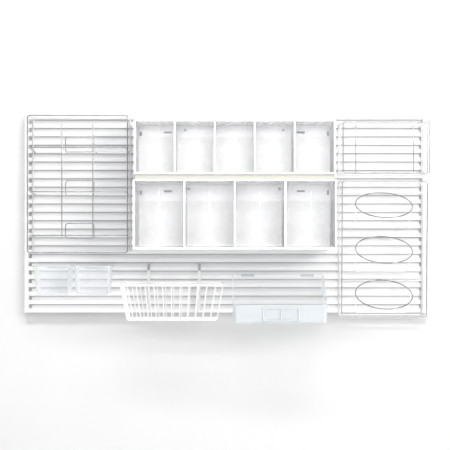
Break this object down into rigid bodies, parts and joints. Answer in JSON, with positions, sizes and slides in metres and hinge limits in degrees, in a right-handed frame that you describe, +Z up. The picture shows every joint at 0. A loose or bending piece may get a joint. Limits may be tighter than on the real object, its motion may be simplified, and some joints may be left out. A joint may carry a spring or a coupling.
{
  "type": "slat wall storage panel",
  "caption": "White horizontal-slat wall panel carrying tip-out clear bins, wire racks, a wire basket, small hang-on bins and a storage box.",
  "frame": {"origin": "middle of the rectangle of wall-screw holes, on the wall plane", "axes": "+X along the panel to the right seen from the front, +Y towards the wall, +Z up"},
  "size_m": [1.219, 0.2044, 0.6216],
  "materials": {
    "panel_paint": "semi-gloss white powder coat",
    "batten_wood": "planed pine",
    "zinc_steel": "zinc plated",
    "unit_white": "glossy white moulded plastic",
    "clear_plastic": "clear polystyrene",
    "frosted_plastic": "milky translucent polypropylene",
    "label_plastic": "pale grey moulded plastic",
    "bright_wire": "bright plated wire",
    "white_wire": "white dip coating"
  },
  "bodies": {
    "panel": {"back_sheet": "panel_paint", "slat_faces": "panel_paint", "slat_shelves": "panel_paint", "slat_webs": "panel_paint", "top_cap": "panel_paint", "side_trim_left": "panel_paint", "side_trim_right": "panel_paint", "wall_batten_left": "batten_wood", "wall_batten_right": "batten_wood", "batten_rivets": "zinc_steel", "upper_housing": "unit_white", "upper_dividers": "unit_white", "upper_hooks": "zinc_steel", "upper_lock_screws": "zinc_steel", "upper_lock_plates": "zinc_steel", "lower_housing": "unit_white", "lower_dividers": "unit_white", "lower_hooks": "zinc_steel", "lower_lock_screws": "zinc_steel", "lower_lock_plates": "zinc_steel"},
    "tier_rack": {"tier_front_frame": "bright_wire", "tier_back_frame": "bright_wire", "tier_side_wires": "bright_wire", "tier_front_rails": "bright_wire", "tier_uprights": "bright_wire", "tier_loops": "bright_wire", "tier_hooks": "bright_wire"},
    "shelf_rack": {"shelf_back_frame": "bright_wire", "shelf_front_frames": "bright_wire", "shelf_side_wires": "bright_wire", "shelf_uprights": "bright_wire", "shelf_hooks": "bright_wire"},
    "ring_rack": {"ring_back_frame": "bright_wire", "ring_front_frame": "bright_wire", "ring_side_wires": "bright_wire", "ring_top": "bright_wire", "ring_middle": "bright_wire", "ring_bottom": "bright_wire", "ring_feet": "bright_wire", "ring_hooks": "bright_wire"},
    "basket": {"basket_rim": "white_wire", "basket_front_wires": "white_wire", "basket_back_wires": "white_wire", "basket_side_wires": "white_wire", "basket_base_wires": "white_wire", "hanger_left": "white_wire", "hanger_right": "white_wire"},
    "storage_box": {"storage_box": "frosted_plastic", "label_frame": "label_plastic"},
    "small_bin_left": {"small_bin_left": "frosted_plastic"},
    "small_bin_right": {"small_bin_right": "frosted_plastic"},
    "upper_bin_1": {"upper_bin_1": "clear_plastic"},
    "upper_bin_2": {"upper_bin_2": "clear_plastic"},
    "upper_bin_3": {"upper_bin_3": "clear_plastic"},
    "upper_bin_4": {"upper_bin_4": "clear_plastic"},
    "upper_bin_5": {"upper_bin_5": "clear_plastic"},
    "lower_bin_1": {"lower_bin_1": "clear_plastic"},
    "lower_bin_2": {"lower_bin_2": "clear_plastic"},
    "lower_bin_3": {"lower_bin_3": "clear_plastic"},
    "lower_bin_4": {"lower_bin_4": "clear_plastic"}
  },
  "joints": [
    {"name": "upper_bin_1_tip", "type": "hinge", "parent": "panel", "child": "upper_bin_1", "pos_m": [-0.2063, -0.1517, 0.03665], "axis": [1, 0, 0], "range_deg": [0, 45]},
    {"name": "upper_bin_2_tip", "type": "hinge", "parent": "panel", "child": "upper_bin_2", "pos_m": [-0.0899, -0.1517, 0.03665], "axis": [1, 0, 0], "range_deg": [0, 45]},
    {"name": "upper_bin_3_tip", "type": "hinge", "parent": "panel", "child": "upper_bin_3", "pos_m": [0.0265, -0.1517, 0.03665], "axis": [1, 0, 0], "range_deg": [0, 45]},
    {"name": "upper_bin_4_tip", "type": "hinge", "parent": "panel", "child": "upper_bin_4", "pos_m": [0.1429, -0.1517, 0.03665], "axis": [1, 0, 0], "range_deg": [0, 45]},
    {"name": "upper_bin_5_tip", "type": "hinge", "parent": "panel", "child": "upper_bin_5", "pos_m": [0.2593, -0.1517, 0.03665], "axis": [1, 0, 0], "range_deg": [0, 45]},
    {"name": "lower_bin_1_tip", "type": "hinge", "parent": "panel", "child": "lower_bin_1", "pos_m": [-0.19175, -0.1867, -0.18035], "axis": [1, 0, 0], "range_deg": [0, 45]},
    {"name": "lower_bin_2_tip", "type": "hinge", "parent": "panel", "child": "lower_bin_2", "pos_m": [-0.04625, -0.1867, -0.18035], "axis": [1, 0, 0], "range_deg": [0, 45]},
    {"name": "lower_bin_3_tip", "type": "hinge", "parent": "panel", "child": "lower_bin_3", "pos_m": [0.09925, -0.1867, -0.18035], "axis": [1, 0, 0], "range_deg": [0, 45]},
    {"name": "lower_bin_4_tip", "type": "hinge", "parent": "panel", "child": "lower_bin_4", "pos_m": [0.24475, -0.1867, -0.18035], "axis": [1, 0, 0], "range_deg": [0, 45]},
    {"name": "tier_rack_lift", "type": "slide", "parent": "panel", "child": "tier_rack", "axis": [0, 0, 1], "range_m": [0, 0.01]},
    {"name": "shelf_rack_lift", "type": "slide", "parent": "panel", "child": "shelf_rack", "axis": [0, 0, 1], "range_m": [0, 0.01]},
    {"name": "ring_rack_lift", "type": "slide", "parent": "panel", "child": "ring_rack", "axis": [0, 0, 1], "range_m": [0, 0.01]},
    {"name": "basket_lift", "type": "slide", "parent": "panel", "child": "basket", "axis": [0, 0, 1], "range_m": [0, 0.01]},
    {"name": "storage_box_lift", "type": "slide", "parent": "panel", "child": "storage_box", "axis": [0, 0, 1], "range_m": [0, 0.01]},
    {"name": "small_bin_left_lift", "type": "slide", "parent": "panel", "child": "small_bin_left", "axis": [0, 0, 1], "range_m": [0, 0.01]},
    {"name": "small_bin_right_lift", "type": "slide", "parent": "panel", "child": "small_bin_right", "axis": [0, 0, 1], "range_m": [0, 0.01]}
  ]
}
